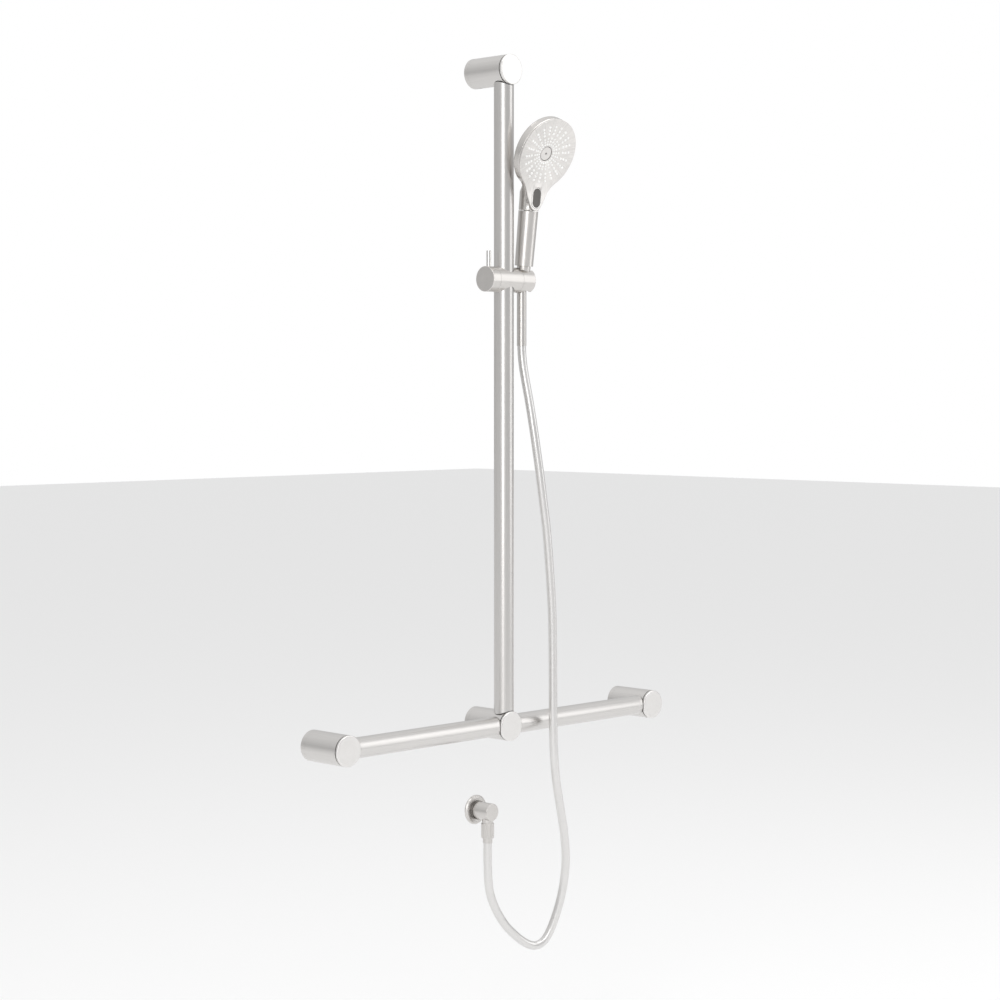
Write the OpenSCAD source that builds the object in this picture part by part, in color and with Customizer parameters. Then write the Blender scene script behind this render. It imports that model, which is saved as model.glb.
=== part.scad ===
// Shower set: an inverted-T grab rail, a clamping slider, a handset and its hose and wall elbow.
// Millimetres. X runs along the wall, +Y into the wall, +Z up.
// The origin is on the wall face, on the axis of the centre post.

/* [Rail set] */
// Height of the top post above the bar, axis to axis
rail_h = 1050; // [900:10:1300]
// Half the length of the bar, axis to axis
bar_half = 350; // [280:5:450]
// Outside diameter of the grab tube
tube_d = 32; // [30:1:36]
// Wall of the grab tube
tube_wall = 1.5; // [1.2:0.1:2]
// Wall face to the axis of the grab tube
stand_off = 66; // [58:1:80]

/* [Posts] */
// Outside diameter of a post
post_d = 48.2; // [44:0.2:56]
// Wall of a post
post_wall = 2; // [1.5:0.1:3]
// Front of the cap beyond the tube axis
cap_front = 18; // [17:0.5:24]
// Thickness of the cap's disc
cap_t = 4.5; // [3.5:0.5:6]
// Shadow gap behind the cap
cap_gap = 1.2; // [0.8:0.1:2]
// Thickness of the wall bracket's flange
flange_t = 8; // [6:0.5:10]
// Circle of the three wall screws
screw_pcd = 28; // [26:1:30]
// Hole for a wall screw
screw_hole_d = 5.5; // [4.5:0.5:6]

/* [Slider] */
// Diameter of the slider's cross barrel
slider_d = 40.5; // [39:0.5:44]
// Height of the slider's axis above the bar at rest
slider_z = 717.5; // [300:0.5:900]
// Length of the clamp knob
knob_l = 17; // [15:0.5:22]
// Length of the middle block round the rail
block_l = 52; // [50:1:60]
// Length of the handset holder
holder_l = 27.5; // [27:0.5:34]
// Diameter of the lever pin
lever_d = 7.5; // [6:0.5:9]
// Height of the lever pin above the knob
lever_h = 25; // [15:1:35]
// Centre of the holder's bore beyond the block's end
bore_in = 15; // [14.5:0.5:17]

/* [Handset] */
// Forward lean of the handset
lean = 6.5; // [0:0.5:12]
// Diameter of the head
head_d = 118; // [100:1:130]
// Depth of the head's rim
rim_t = 16; // [13:0.5:20]
// Turn of the face away from the handle's axis
face_turn = 17.8; // [10:0.2:25]
// Distance from the holder's lower edge to the face's centre, along the handle
face_up = 223; // [205:1:240]
// Face centre in front of the handle's axis
face_out = 33.5; // [30:0.5:40]
// Diameter of the handle under the head
handle_d = 32; // [30:0.5:36]
// Diameter of the handle at its foot
handle_foot_d = 29.5; // [28:0.5:34]
// Diameter of the top of the cone nut
nut_d = 22; // [21.5:0.5:24]
// Rows of nozzles round the face
nozzle_rows = 22; // [16:1:26]

/* [Hose and elbow] */
// Outside diameter of the hose
hose_d = 14; // [12:0.5:15]
// Outside diameter of the hose sleeve
sleeve_d = 15.4; // [15:0.1:17]
// Length of the hose sleeve
sleeve_l = 92; // [60:1:100]
// Drop of the elbow's axis below the bar's axis
elbow_drop = 146; // [100:1:220]
// Diameter of the wall flange
rosette_d = 48; // [44:1:60]
// Diameter of the elbow's body
elbow_d = 28.6; // [27:0.2:32]
// Front of the elbow's body from the wall
elbow_out = 40; // [39:0.5:48]
// Wall face to the axis of the elbow's outlet
outlet_out = 29; // [28:0.5:31]
// Outside diameter of the hose nut
hose_nut_d = 21; // [20:0.5:25]

/* [Hidden] */
$fn = 64;

fit_gap = 0.3;        // between faces of different bodies
run_gap = 0.08;       // radial clearance of a running fit
slack = 0.1;          // radial clearance of a fixed fit
through = 1;          // how far a cut runs past a face

// Posts and rails
tube_id = tube_d - 2 * tube_wall;
post_r = post_d / 2;
post_id = post_d - 2 * post_wall;
post_out = stand_off + cap_front;
rail_gap = 1.2;       // shadow gap between a tube's end and its post
cap_edge = 1.4;       // radius on the cap's front edge
cap_plug_l = 4.5;
boss_l = 14;          // bracket's boss inside the post
spigot_l = 30;
spigot_hole_d = 8.4;
spigot_screw_d = 8;
screw_head_d = 12.5;
screw_head_l = 4;
grub_d = 5;
grub_l = 7;
head_sink_d = 10;     // counterbore for a wall screw's head
head_sink_l = 6;

// Slider
block_end = block_l / 2;
knob_start = -block_end - knob_l;
holder_end = block_end + holder_l;
bush_t = 1.8;
bush_h = 16;
rail_hole_d = tube_d + 1;
bush_od = tube_d + 2 * run_gap + 2 * bush_t;
clamp_screw_d = 10;
pad_d = 11.8;
bolt_d = 8;
bolt_head_d = 13;
bolt_head_l = 2.2;
washer_t = 1.2;
washer_d = 30;
lever_x = (knob_start - block_end) / 2;
bore_x = block_end + bore_in;
foot_z = slider_z - slider_d / 2;   // where the handset's axis crosses the sleeve's

// Handset, measured along its axis from foot_z
nut_foot = 9.5;
nut_top = 43.5;
nut_taper = 1.4;      // how much slimmer the nut is at its foot, on the radius
seat_top_r = nut_d / 2 + fit_gap;
seat_foot_r = nut_d / 2 - nut_taper + fit_gap;
nipple_r = nut_d / 2 - 2.3;
shell_top = 132;
handle_wall = 2;
rim_wall = 2.4;
plate_t = 2.6;
plate_wall = 2;
tail_l = 93;          // tip of the teardrop below the face's centre, along the plate
// half the tail's outline: degrees round from the tip, distance from the face's centre
tail = [[31, 60.2], [25, 63.2], [19.4, 68.2], [13, 77.2], [8.2, 86.2], [4.5, 91.2], [2, 92.6]];
window_r = head_d / 2 - 5;
spray_r = window_r - 0.2;
dish = 5;             // how deep the face is dished
hub_r = 11;
spray_t = 2;
nub_r = 1.4;
nub_hole_r = 1.55;
nub_stand = 0.9;
outer_rings = [34, 40, 46];
inner_rings = [16, 21, 26];
button_w = 18;
button_l = 31;
bezel_w = 1.4;
button_travel = 2.5;
button_up = 153.5;
tongue_out = handle_d / 2 - 0.5;  // plane of the tongue in front of the handle's axis

// Elbow, measured out from the wall or down from its axis
inlet_r = 9.32;
inlet_l = 12;
chamber_r = 8;
neck_r = hose_nut_d / 2 - 1.5;
nut_start = 18.2;
nut_end = 43;
web_t = 3.4;
ferrule_end = 50.9;

// Hose route: from the elbow's ferrule up into the sleeve
hose_route = [
  [0, -29, -197], [0, -29, -215], [0.5, -29, -240], [2, -29, -262], [5, -29.5, -281],
  [12, -31, -301], [23, -32, -320], [37, -33.5, -339], [52, -35.5, -354], [68, -39, -368],
  [84, -43, -378], [98, -47, -381], [111, -52, -374], [121, -57, -356], [129, -63, -329],
  [135, -68, -300], [138, -72, -270], [135, -78, -235], [125, -84, -196], [113, -89, -162],
  [101, -94, -131], [91, -97, -98], [84, -99.5, -64], [81, -100, -25], [80, -100, 30],
  [79.5, -100, 100], [76.5, -101, 180], [70, -101, 255], [63.5, -101, 312], [56, -100, 362],
  [49.5, -98, 410], [43.5, -94.5, 458], [40.5, -90, 494], [40, -83, 527], [40.5, -75, 557],
  [41, -68.5, 585], [41, -66, 612], [41, -66, 650], [41, -66, 690]];
hose_sides = 12;

satin = "silver";
bright = "gainsboro";
dark = "dimgray";

// ---- places ----
module on_wall(x, z) { translate([x, 0, z]) rotate([90, 0, 0]) children(); }
module on_slider() { translate([0, -stand_off, slider_z]) rotate([0, 90, 0]) children(); }
module on_handset() { translate([bore_x, -stand_off, foot_z]) rotate([lean, 0, 0]) children(); }
module on_face() { on_handset() translate([0, -face_out, face_up]) rotate([90 + face_turn, 0, 0]) children(); }
module on_tongue() { on_handset() translate([0, -tongue_out, 0]) rotate([90, 0, 0]) children(); }
module down_elbow() { on_wall(0, -elbow_drop) translate([0, 0, outlet_out]) rotate([90, 0, 0]) children(); }

// ---- shapes ----
module ring(ro, ri, h) {
  difference() {
    cylinder(r = ro, h = h);
    translate([0, 0, -through]) cylinder(r = ri, h = h + 2 * through);
  }
}
// a disc whose far edge is rounded by e
module soft_disc(r, h, e) {
  rotate_extrude($fn = 96)
    polygon(concat([[0, 0], [r, 0]],
                   [for (a = [0:15:90]) [r - e + e * cos(a), h - e + e * sin(a)]],
                   [[0, h]]));
}
module pill(w, l, h) {
  linear_extrude(h) {
    square([w, l - w], center = true);
    for (s = [-1, 1]) translate([0, s * (l - w) / 2]) circle(d = w);
  }
}

// ---- rails ----
module tube(l) { ring(tube_d / 2, tube_id / 2, l); }
// every post's outside, grown by g, as the cutter for what meets it
module post_cutters(g) {
  for (p = [[0, 0], [0, rail_h], [-bar_half, 0], [bar_half, 0]])
    on_wall(p[0], p[1]) cylinder(r = post_r + g, h = post_out);
}
module vertical_rail() color(satin) difference() {
  translate([0, -stand_off, 0]) tube(rail_h);
  post_cutters(rail_gap);
}
module bar_half_tube(s) color(satin) difference() {
  translate([0, -stand_off, 0]) rotate([0, s * 90, 0]) tube(bar_half);
  post_cutters(rail_gap);
}
module left_rail() bar_half_tube(-1);
module right_rail() bar_half_tube(1);

// each tube end: [post x, post z, turn of the tube about the post]
ends = [[0, 0, 0], [0, 0, 90], [0, 0, -90], [0, rail_h, 180], [-bar_half, 0, 90], [bar_half, 0, -90]];
module at_ends() {
  for (e = ends) translate([e[0], -stand_off, e[1]]) rotate([0, e[2], 0]) children();
}
module rail_spigots() color(dark) difference() {
  at_ends() translate([0, 0, post_r - 2])
    ring(tube_id / 2 - slack, spigot_screw_d / 2 - 0.6, spigot_l);
  post_cutters(slack);
}
module spigot_screws() color(dark) at_ends() {
  translate([0, 0, post_r - post_wall - 2 - screw_head_l]) cylinder(d = screw_head_d, h = screw_head_l);
  translate([0, 0, post_r - post_wall - 3]) cylinder(d = spigot_screw_d - 1.6, h = post_wall + 18);
}

// ---- posts ----
module post(x, z) color(satin) difference() {
  on_wall(x, z) translate([0, 0, flange_t + slack])
    ring(post_r, post_id / 2, post_out - cap_t - cap_gap - flange_t - slack);
  at_ends() cylinder(d = spigot_hole_d, h = post_r + through);
  on_wall(x, z) translate([0, 0, flange_t + boss_l / 2]) rotate([90, 0, 0])
    cylinder(d = grub_d + 2 * slack, h = post_r + through);
}
module top_post() post(0, rail_h);
module left_post() post(-bar_half, 0);
module right_post() post(bar_half, 0);
module centre_post() post(0, 0);

module cap(x, z) color(bright) on_wall(x, z) {
  translate([0, 0, post_out - cap_t]) soft_disc(post_r - 0.1, cap_t, cap_edge);
  translate([0, 0, post_out - cap_t - cap_gap - cap_plug_l])
    ring(post_id / 2 - slack, post_id / 2 - 2, cap_gap + cap_plug_l);
}
module top_cap() cap(0, rail_h);
module left_cap() cap(-bar_half, 0);
module right_cap() cap(bar_half, 0);
module centre_cap() cap(0, 0);

module bracket(x, z) color(satin) on_wall(x, z) difference() {
  union() {
    cylinder(r = post_r, h = flange_t);
    cylinder(r = post_id / 2 - slack, h = flange_t + boss_l);
  }
  for (a = [30, 150, 270]) rotate([0, 0, a + 60]) translate([screw_pcd / 2, 0, -through]) {
    cylinder(d = screw_hole_d, h = flange_t + boss_l + 2 * through);
    translate([0, 0, flange_t + boss_l - head_sink_l + through]) cylinder(d = head_sink_d, h = head_sink_l + through);
  }
  translate([0, 0, flange_t + boss_l / 2]) rotate([90, 0, 0]) translate([0, 0, post_r - grub_l - 0.5])
    cylinder(d = grub_d + 2 * slack, h = grub_l + 2);
}
module top_bracket() bracket(0, rail_h);
module left_bracket() bracket(-bar_half, 0);
module right_bracket() bracket(bar_half, 0);
module centre_bracket() bracket(0, 0);

module grub_screws() color(dark)
  for (p = [[0, 0], [0, rail_h], [-bar_half, 0], [bar_half, 0]])
    on_wall(p[0], p[1]) translate([0, 0, flange_t + boss_l / 2]) rotate([90, 0, 0])
      translate([0, 0, post_r - grub_l - 0.3]) difference() {
        cylinder(d = grub_d, h = grub_l);
        translate([0, 0, grub_l - 2.5]) cylinder(d = 2.5, h = 3, $fn = 6);
      }

// ---- slider ----
module rail_bush() color("white") difference() {
  translate([0, -stand_off, slider_z - bush_h / 2]) ring(bush_od / 2, tube_d / 2 + run_gap, bush_h);
  translate([-1, -stand_off, slider_z - bush_h]) cube([2, bush_od, 2 * bush_h]);
}
module slider_block() color(satin) difference() {
  on_slider() translate([0, 0, fit_gap / 2 - block_end]) cylinder(d = slider_d, h = block_l - fit_gap);
  translate([0, -stand_off, slider_z - slider_d]) cylinder(d = rail_hole_d, h = 2 * slider_d);
  translate([0, -stand_off, slider_z - bush_h / 2 - fit_gap]) cylinder(r = bush_od / 2 + run_gap, h = bush_h + 2 * fit_gap);
  on_slider() translate([0, 0, -block_l]) cylinder(d = clamp_screw_d + 2 * run_gap, h = block_l);
  on_slider() translate([0, 0, -block_end + 1.6]) cylinder(d = pad_d + 2 * run_gap, h = block_end);
  on_slider() cylinder(d = bolt_d + 2 * slack, h = block_l);
  on_slider() translate([0, 0, block_end - washer_t]) cylinder(d = washer_d + 2 * slack, h = block_l);
}
module brake_pad() color("white") on_slider() difference() {
  translate([0, 0, -block_end + 3.4]) cylinder(d = pad_d, h = block_end - 3.4);
  rotate([90, 0, 0]) translate([0, 0, -pad_d]) cylinder(r = bush_od / 2 + fit_gap, h = 2 * pad_d);
  rotate([0, 90, 0]) translate([0, 0, -pad_d]) cylinder(r = bush_od / 2 + fit_gap, h = 2 * pad_d);
}
module clamp_screw() color(dark) on_slider()
  translate([0, 0, knob_start + 5]) cylinder(d = clamp_screw_d, h = knob_l - 5 + 2.6);
module clamp_knob() color(satin) difference() {
  on_slider() translate([0, 0, -block_end - fit_gap / 2]) rotate([180, 0, 0])
    soft_disc(slider_d / 2, knob_l - fit_gap / 2, 0.7);
  on_slider() translate([0, 0, knob_start + 5 - slack]) cylinder(d = clamp_screw_d + 2 * slack, h = knob_l);
  translate([lever_x, -stand_off, slider_z + slider_d / 2 - 8]) cylinder(d = lever_d + 2 * slack, h = slider_d);
}
module lever_pin() color(bright)
  translate([lever_x, -stand_off, slider_z + slider_d / 2 - 8 + slack]) soft_disc(lever_d / 2, lever_h + 8 - slack, 1);
module pivot_bolt() color(dark) on_slider() {
  translate([0, 0, bush_od / 2 + 1]) cylinder(d = bolt_d, h = block_end + 2.4 - bush_od / 2);
  translate([0, 0, block_end + 2]) cylinder(d = bolt_head_d, h = bolt_head_l - 0.6);
}
module friction_washer() color("white") on_slider()
  translate([0, 0, block_end - washer_t + slack]) ring(washer_d / 2, bolt_d / 2 + slack, washer_t - slack);
module holder() color(satin) difference() {
  on_slider() translate([0, 0, block_end + fit_gap / 2]) soft_disc(slider_d / 2, holder_l - fit_gap / 2, 0.7);
  on_slider() translate([0, 0, block_end - through]) cylinder(d = bolt_d + 2 * run_gap, h = 4);
  on_slider() translate([0, 0, block_end + 2 - fit_gap]) cylinder(d = bolt_head_d + 2 * fit_gap, h = bolt_head_l);
  // cone seat, its mouth, the relief under it and the slot the hose passes through
  on_handset() translate([0, 0, nut_foot]) cylinder(r1 = seat_foot_r, r2 = seat_top_r, h = nut_top - nut_foot);
  on_handset() translate([0, 0, nut_top - through]) cylinder(r = seat_top_r, h = slider_d);
  on_handset() translate([0, 0, -slider_d / 2]) cylinder(r = sleeve_d / 2 + 3, h = slider_d / 2 + nut_foot + slack);
  on_handset() translate([0, -sleeve_d / 2 - 0.5, -slider_d]) cube([holder_l, sleeve_d + 1, 3 * slider_d]);
}

// ---- hose end ----
module hose_sleeve() color(satin)
  translate([bore_x, -stand_off, foot_z + 7 - sleeve_l]) ring(sleeve_d / 2, hose_d / 2 + 0.25, sleeve_l);
module top_ferrule() color(dark) on_handset() difference() {
  union() {
    translate([0, 0, 7.8]) cylinder(r = nipple_r - 2.5, h = 9);
    translate([0, 0, 14.3]) cylinder(r = nipple_r - 0.3, h = 2.2);
  }
  cylinder(r = 4.5, h = 20);
}

// ---- handset ----
module cone_nut() color(satin) on_handset() difference() {
  union() {
    translate([0, 0, nut_foot]) cylinder(r1 = nut_d / 2 - nut_taper, r2 = nut_d / 2, h = nut_top - nut_foot - 2);
    translate([0, 0, nut_top - 2]) cylinder(r = nut_d / 2, h = 2);
  }
  translate([0, 0, 14]) cylinder(r = nipple_r + slack, h = nut_top);
  translate([0, 0, nut_foot - through]) cylinder(r = nipple_r - 2.5 + fit_gap, h = 10);
}
module filter_washer() color("black") on_handset() translate([0, 0, 16.8]) ring(nipple_r - 0.2, 4.5, 2.2);
module inlet_nipple() color(dark) on_handset() difference() {
  union() {
    translate([0, 0, 19.3]) cylinder(r = nipple_r, h = 40);
    translate([0, 0, 50]) cylinder(r = handle_foot_d / 2 - handle_wall - slack, h = 8);
  }
  cylinder(r = 5.2, h = 80);
}
module handle_shell() color(satin) on_handset() difference() {
  translate([0, 0, nut_top + fit_gap])
    cylinder(d1 = handle_foot_d, d2 = handle_d, h = shell_top - nut_top - fit_gap, $fn = 96);
  cylinder(d = handle_foot_d - 2 * handle_wall, h = shell_top + through);
}
module inner_tube() color("white") on_handset() translate([0, 0, 59.6]) ring(7.5, 5.2, 115);

// outline of the teardrop plate, in its own plane, shrunk by g; its lower part is bent round the handle
function tail_point(p, side) = [side * p[1] * sin(p[0]) * head_d / 118,
                                -p[1] * cos(p[0]) - (head_d / 2 - 59) * (tail_l - p[1]) / 33];
outline = concat([for (i = [0:50]) head_d / 2 * [cos(-50 + 5.6 * i), sin(-50 + 5.6 * i)]],
                 [for (i = [0:6]) tail_point(tail[i], -1)], [[0, -tail_l]],
                 [for (i = [6:-1:0]) tail_point(tail[i], 1)]);
function inward(a, b) = [a[1] - b[1], b[0] - a[0]] / norm(b - a);
module teardrop(g) {
  n = len(outline);
  polygon([for (i = [0:n - 1]) outline[i] + g * inward(outline[(i + n - 1) % n], outline[(i + 1) % n])]);
}
bend_y = -(face_out - tongue_out) / sin(face_turn);    // where the face's plane meets the tongue's
tongue_shift = face_up + bend_y * cos(face_turn) - bend_y; // the tongue's flat, laid along the handle
bend_lap = 1;         // each side runs on behind the other, so that they join through their thickness
module above_bend() { translate([-head_d, bend_y - bend_lap]) square([2 * head_d, 2 * head_d]); }
module below_bend() { translate([-head_d, bend_y - head_d]) square([2 * head_d, head_d + bend_lap]); }
module bent_plate(g, t, z) {
  on_face() translate([0, 0, z - t]) linear_extrude(t) intersection() { teardrop(g); above_bend(); }
  on_tongue() translate([0, tongue_shift, z - t]) linear_extrude(t) intersection() { teardrop(g); below_bend(); }
}
module face_plate() color(bright) difference() {
  bent_plate(0, plate_t, 0);
  on_face() translate([0, 0, -plate_t - through]) cylinder(r = window_r, h = 10, $fn = 128);
  on_tongue() translate([0, button_up, -plate_t - through])
    pill(button_w + 2 * bezel_w + 2 * slack, button_l + 2 * bezel_w + 2 * slack, 10);
}
module button_bezel() color(bright) on_tongue() translate([0, button_up, -plate_t]) difference() {
  pill(button_w + 2 * bezel_w, button_l + 2 * bezel_w, plate_t + 0.6);
  translate([0, 0, -through]) pill(button_w, button_l, 10);
}
module button() color(dark) on_tongue() translate([0, button_up, -plate_t]) pill(button_w - 0.8, button_l - 0.8, plate_t + 1);
module button_spring() color(dark) on_tongue() translate([0, button_up, -plate_t - fit_gap - button_travel - 0.4])
  ring(3.2, 2.4, button_travel + 0.4);

// z of the dished face at radius r
function dish_z(r) = -0.8 - dish * (1 - r / spray_r);
module dished(r0, r1, drop, t) {
  rotate_extrude($fn = 96)
    polygon([[r0, dish_z(r0) - drop], [r1, dish_z(r1) - drop], [r1, dish_z(r1) - drop - t], [r0, dish_z(r0) - drop - t]]);
}
module at_nozzles() {
  for (i = [0:nozzle_rows - 1], r = concat(outer_rings, inner_rings))
    rotate([0, 0, i * 360 / nozzle_rows]) translate([r, 0, dish_z(r)]) children();
}
module spray_plate() color("darkgray") on_face() difference() {
  dished(hub_r + slack, spray_r, 0, spray_t);
  at_nozzles() translate([0, 0, -2 * spray_t]) cylinder(r = nub_hole_r, h = 4 * spray_t, $fn = 16);
}
module nozzle_mat() color("white") on_face() {
  dished(hub_r + slack, spray_r - 1, spray_t + slack, 1.4);
  at_nozzles() translate([0, 0, -spray_t - 1]) cylinder(r = nub_r, h = spray_t + 1 + nub_stand, $fn = 16);
}
module centre_nozzle() color("lightgray") on_face() translate([0, 0, dish_z(hub_r) - spray_t - 1]) ring(hub_r, 1.6, spray_t + 0.6);
module water_distributor() color("white") on_face() difference() {
  translate([0, 0, -14]) cylinder(r = spray_r - 2, h = 3.4);
  for (a = [0:60:300]) rotate([0, 0, a]) translate([12, 0, -20]) cylinder(r = 3, h = 20);
}
module face_seal() color("black") on_face() translate([0, 0, -plate_t - 1.8]) ring(window_r + 2.2, window_r - 0.2, 1.6);
module diverter_rotor() color("orange") on_face() difference() {
  translate([0, 0, -17.4]) cylinder(r = 18, h = 3);
  for (a = [0:120:240]) rotate([0, 0, a]) translate([12, 0, -20]) cylinder(r = 3, h = 20);
}
// back of the head: rim, dome and the neck that runs down into the handle
dome = [[0, -rim_t - 12], [22, -rim_t - 11], [40, -rim_t - 8], [51, -rim_t - 4.5], [56.5, -rim_t - 1]];
module head_solid(g, top) {
  on_face() rotate_extrude($fn = 72) polygon(concat(
    [for (p = dome) [max(0, p[0] * head_d / 118 - g), p[1] + g]],
    [[head_d / 2 - g, -rim_t + 2 + g], [head_d / 2 - g, top], [0, top]]));
}
module neck_solid(g) {
  hull() {
    on_handset() translate([0, 0, shell_top + fit_gap]) cylinder(d = handle_d - 2 * g, h = 1, $fn = 40);
    on_handset() translate([0, 0, 165]) cylinder(d = handle_d + 1 - 2 * g, h = 1, $fn = 40);
  }
  hull() {
    on_handset() translate([0, 0, 160]) cylinder(d = handle_d + 0.4 - 2 * g, h = 7, $fn = 36);
    on_face() translate([0, -11, -rim_t - 6.3 + g]) cylinder(r = 25 - g, h = 4, $fn = 40);
  }
}
module head_shell() color(satin) difference() {
  union() {
    head_solid(0, -plate_t - 0.5);
    neck_solid(0);
    on_face() translate([0, 0, -rim_t + 2]) linear_extrude(rim_t - plate_t - 2.5) intersection() { teardrop(fit_gap); above_bend(); }
  }
  head_solid(rim_wall, 5);
  on_handset() translate([0, 0, shell_top - 1]) cylinder(r = 8, h = 60);
  on_tongue() translate([-50, 100, -plate_t - 0.45]) cube([100, 71, 60]);
  on_face() translate([-60, bend_y - 60, -plate_t - 0.4]) cube([120, 150, 60]);
  on_tongue() translate([0, button_up, -plate_t - fit_gap - button_travel - 0.6]) pill(button_w + 1, button_l + 1, 12);
}

// ---- elbow ----
module elbow_flange() color(satin) on_wall(0, -elbow_drop) difference() {
  rotate_extrude($fn = 96) polygon([[0, 0], [rosette_d / 2, 0], [rosette_d / 2, 2], [rosette_d / 2 - 1.6, 4.4],
                                    [rosette_d / 2 - 3, 5], [0, 5]]);
  translate([0, 0, -through]) cylinder(r = elbow_d / 2 + 1.4, h = 10);
}
module elbow_collar() color(dark) on_wall(0, -elbow_drop) translate([0, 0, 1]) ring(elbow_d / 2 + 1.2, elbow_d / 2 + slack, 8);
module elbow_body() color(satin) difference() {
  union() {
    on_wall(0, -elbow_drop) soft_disc(elbow_d / 2, elbow_out, 1);
    down_elbow() cylinder(r = neck_r, h = 36);
  }
  on_wall(0, -elbow_drop) translate([0, 0, -through]) cylinder(r = inlet_r, h = inlet_l + through);
  on_wall(0, -elbow_drop) cylinder(r = chamber_r, h = 25);
  on_wall(0, -elbow_drop) cylinder(r = chamber_r - 1.6, h = outlet_out + 5);
  down_elbow() cylinder(r = 5, h = 40);
}
module valve_seat() color("white") on_wall(0, -elbow_drop) translate([0, 0, 12.5]) ring(chamber_r - slack, 4.5, 3.4);
module valve_poppet() color("orange") on_wall(0, -elbow_drop) {
  translate([0, 0, 16.2]) cylinder(r = chamber_r - 0.7, h = 1.6);
  translate([0, 0, 16.2]) cylinder(r = 1.6, h = 5);
}
module valve_spring() color(dark) on_wall(0, -elbow_drop) translate([0, 0, 18.1]) ring(chamber_r - 0.6, chamber_r - 1.4, 6.8);
module elbow_nut() color(satin) down_elbow() difference() {
  translate([0, 0, nut_start]) soft_disc(hose_nut_d / 2, nut_end - nut_start, 0.8);
  translate([0, 0, nut_start - through]) cylinder(r = neck_r + run_gap, h = nut_end - nut_start - web_t + through);
  cylinder(r = hose_d / 2 + fit_gap, h = 60);
}
module elbow_washer() color("black") down_elbow() translate([0, 0, 36.1]) ring(neck_r - 0.2, 5, 2);
module bottom_ferrule() color(satin) down_elbow() difference() {
  union() {
    translate([0, 0, 38.2]) cylinder(r = neck_r - 0.25, h = nut_end - web_t - 38.2 - fit_gap);
    translate([0, 0, 38.2]) cylinder(r = hose_d / 2, h = ferrule_end - 38.2);
    translate([0, 0, nut_end + 0.4]) cylinder(r = hose_d / 2 + 0.9, h = ferrule_end - nut_end - 0.4);
  }
  cylinder(r = 4.5, h = ferrule_end - 1);
}

// ---- hose ----
last = len(hose_route) - 1;
function at(i) = hose_route[min(max(i, 0), last)];
// a point on the smooth curve through the route, a share t of the way from point i to the next
function curve(i, t) =
  0.5 * (2 * at(i) + (at(i + 1) - at(i - 1)) * t
         + (2 * at(i - 1) - 5 * at(i) + 4 * at(i + 1) - at(i + 2)) * t * t
         + (3 * at(i) - at(i - 1) - 3 * at(i + 1) + at(i + 2)) * t * t * t);
line = concat([for (i = [0:last - 1], t = [0, 0.5]) curve(i, t)], [at(last)]);
function unit(v) = v / norm(v);
function heading(k) = unit(line[min(k + 1, len(line) - 1)] - line[max(k - 1, 0)]);
side = [0.45, 0.89, 0];
function ring_points(k) =
  let (u = unit(cross(heading(k), side)), v = cross(u, heading(k)))
  [for (j = [0:hose_sides - 1]) line[k] + hose_d / 2 * (cos(360 * j / hose_sides) * u + sin(360 * j / hose_sides) * v)];
module hose() color("silver") {
  n = hose_sides;
  rings = len(line);
  polyhedron(
    points = [for (k = [0:rings - 1]) each ring_points(k)],
    faces = concat(
      [[for (j = [0:n - 1]) j]],
      [for (k = [0:rings - 2], j = [0:n - 1])
        [k * n + j, (k + 1) * n + j, (k + 1) * n + (j + 1) % n, k * n + (j + 1) % n]],
      [[for (j = [n - 1:-1:0]) (rings - 1) * n + j]]));
}

vertical_rail();
left_rail();
right_rail();
top_post();
left_post();
right_post();
centre_post();
top_cap();
left_cap();
right_cap();
centre_cap();
top_bracket();
left_bracket();
right_bracket();
centre_bracket();
rail_spigots();
spigot_screws();
grub_screws();
rail_bush();
slider_block();
pivot_bolt();
friction_washer();
clamp_knob();
lever_pin();
clamp_screw();
brake_pad();
holder();
hose_sleeve();
top_ferrule();
cone_nut();
filter_washer();
inlet_nipple();
handle_shell();
inner_tube();
head_shell();
face_plate();
spray_plate();
nozzle_mat();
centre_nozzle();
water_distributor();
face_seal();
button_bezel();
button();
button_spring();
diverter_rotor();
elbow_flange();
elbow_collar();
elbow_body();
valve_seat();
valve_poppet();
valve_spring();
elbow_nut();
elbow_washer();
bottom_ferrule();
hose();
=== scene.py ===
"""Finishes for a shower set on an inverted T grab rail: its hose, head, nozzles, button, caps and nuts,
and the material of every part. Metres. X runs along the wall, +Y into the wall, +Z up."""
import math

import bpy
from bpy.props import FloatProperty, FloatVectorProperty, IntProperty, PointerProperty
from mathutils import Matrix, Vector


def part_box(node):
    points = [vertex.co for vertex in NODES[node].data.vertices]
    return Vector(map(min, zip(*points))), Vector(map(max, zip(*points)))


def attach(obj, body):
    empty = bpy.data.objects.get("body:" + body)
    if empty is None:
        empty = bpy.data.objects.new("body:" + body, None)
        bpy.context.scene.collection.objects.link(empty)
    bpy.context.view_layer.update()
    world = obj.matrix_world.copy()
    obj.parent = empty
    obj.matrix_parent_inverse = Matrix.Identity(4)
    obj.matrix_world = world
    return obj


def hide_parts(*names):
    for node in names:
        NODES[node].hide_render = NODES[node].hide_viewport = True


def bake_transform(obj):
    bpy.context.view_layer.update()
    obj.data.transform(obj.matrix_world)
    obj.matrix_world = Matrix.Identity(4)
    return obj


bl_info = {
    "name": "Shower Set Finisher",
    "version": (1, 0, 0),
    "blender": (4, 5, 0),
    "location": "3D View > Sidebar > Shower",
    "description": "Models the finely shaped pieces of a rail shower set and gives each part its finish",
    "category": "Object",
}

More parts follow.
